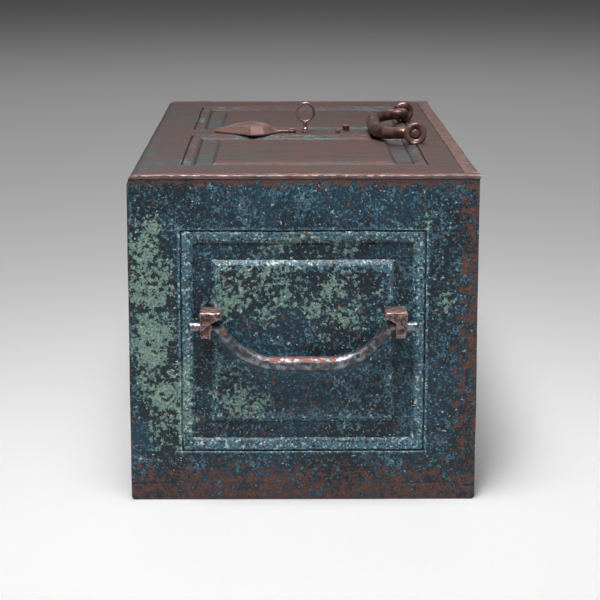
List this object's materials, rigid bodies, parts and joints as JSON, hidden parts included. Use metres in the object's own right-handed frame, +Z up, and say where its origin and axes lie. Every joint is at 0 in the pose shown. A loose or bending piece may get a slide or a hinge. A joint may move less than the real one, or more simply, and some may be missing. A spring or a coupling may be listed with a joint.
{
  "type": "strongbox safe",
  "caption": "Panelled iron strongbox with a hinged lid, drop handles at the ends, a bail on the lid, a keyhole cover and a key lock that throws bolts.",
  "frame": {"origin": "centre of the base, on the floor", "axes": "+Z up, +Y along the box from the near end to the far end, +X towards the lock side, away from the lid's hinge"},
  "size_m": [0.31, 0.702, 0.3268],
  "materials": {
    "body_paint": "old blue paint, chipped, with rust spots",
    "foot_band": "paint worn to rust",
    "top_rim": "brown rusted iron",
    "inside_iron": "dull dark iron",
    "lid_skin": "brown iron with traces of blue paint",
    "handle_steel": "hand-polished forged iron with rust",
    "lug_iron": "forged iron, rust brown",
    "lid_fittings": "forged iron, brown and polished by hands",
    "key_iron": "brown iron",
    "lock_works": "filed, slightly oiled",
    "spring_steel": "drawn wire"
  },
  "bodies": {
    "box": {"corner_angles": "body_paint", "near_surround": "body_paint", "far_surround": "body_paint", "front_surround": "body_paint", "back_surround": "body_paint", "near_moulding": "body_paint", "far_moulding": "body_paint", "front_mouldings": "body_paint", "back_mouldings": "body_paint", "near_field": "body_paint", "far_field": "body_paint", "front_fields": "body_paint", "back_fields": "body_paint", "base_band": "foot_band", "top_rim": "top_rim", "bottom_plate": "inside_iron", "near_sheet": "inside_iron", "far_sheet": "inside_iron", "front_sheet": "inside_iron", "back_sheet": "inside_iron", "rim_legs": "inside_iron", "lid_ledge": "inside_iron", "back_rail": "inside_iron", "hinge_pins": "lock_works", "near_lugs": "lug_iron", "far_lugs": "lug_iron", "lug_rivets": "inside_iron"},
    "near_handle": {"near_bail": "handle_steel"},
    "far_handle": {"far_bail": "handle_steel"},
    "lid": {"lid_sheet": "inside_iron", "lid_surround": "lid_skin", "lid_mouldings": "lid_skin", "lid_fields": "lid_skin", "lid_hinge_bar": "lid_skin", "lid_cross_bars": "inside_iron", "lid_eyes": "lid_fittings", "eye_nuts": "lock_works", "keyhole_bush": "lid_fittings", "slotted_stud": "lid_fittings", "cover_pivot": "lid_fittings", "lock_collar": "lock_works", "lock_plate": "inside_iron", "lock_pillars": "lock_works", "lock_screws": "lock_works", "bolt_guides": "lock_works", "button_bracket": "lock_works", "catch_spring": "spring_steel"},
    "lid_handle": {"lid_bail": "lid_fittings"},
    "cover": {"keyhole_cover": "lid_fittings"},
    "button": {"catch_button": "lid_fittings"},
    "pinion": {"lock_pinion": "lock_works"},
    "front_bar": {"front_bolt": "lock_works"},
    "near_bar": {"near_bolt": "lock_works"},
    "far_bar": {"far_bolt": "lock_works"},
    "key": {"key": "key_iron"}
  },
  "joints": [
    {"name": "near_handle_lift", "type": "hinge", "parent": "box", "child": "near_handle", "pos_m": [0, -0.342, 0.1635], "axis": [-1, 0, 0], "range_deg": [-15, 90]},
    {"name": "far_handle_lift", "type": "hinge", "parent": "box", "child": "far_handle", "pos_m": [0, 0.342, 0.1635], "axis": [1, 0, 0], "range_deg": [-15, 90]},
    {"name": "lid_open", "type": "hinge", "parent": "box", "child": "lid", "pos_m": [-0.146, 0, 0.287], "axis": [0, -1, 0], "range_deg": [0, 100]},
    {"name": "lid_handle_lift", "type": "hinge", "parent": "lid", "child": "lid_handle", "pos_m": [0.113, 0, 0.306], "axis": [0, 1, 0], "range_deg": [0, 171]},
    {"name": "cover_swing", "type": "hinge", "parent": "lid", "child": "cover", "pos_m": [-0.0085, -0.002, 0.3], "axis": [0, 0, 1], "range_deg": [-105, 105]},
    {"name": "button_press", "type": "slide", "parent": "lid", "child": "button", "axis": [0, 0, -1], "range_m": [0, 0.003], "stiffness_N_per_m": 300, "springref_m": -0.003, "deforming": ["catch_spring"]},
    {"name": "key_turn", "type": "hinge", "parent": "lid", "child": "pinion", "pos_m": [0.0055, 0, 0.275], "axis": [0, 0, 1], "range_deg": [0, 90]},
    {"name": "front_bolt_throw", "type": "slide", "parent": "lid", "child": "front_bar", "axis": [1, 0, 0], "range_m": [0, 0.01507]},
    {"name": "near_bolt_throw", "type": "slide", "parent": "lid", "child": "near_bar", "axis": [0, -1, 0], "range_m": [0, 0.0151]},
    {"name": "far_bolt_throw", "type": "slide", "parent": "lid", "child": "far_bar", "axis": [0, 1, 0], "range_m": [0, 0.0151]},
    {"name": "key_draw", "type": "slide", "parent": "pinion", "child": "key", "axis": [0, 0, 1], "range_m": [0, 0.045]}
  ],
  "couplings": [
    {"joint": "key_turn", "follows": "front_bolt_throw", "rad_per_m": 104.17},
    {"joint": "near_bolt_throw", "follows": "front_bolt_throw", "ratio": 1},
    {"joint": "far_bolt_throw", "follows": "front_bolt_throw", "ratio": 1}
  ]
}
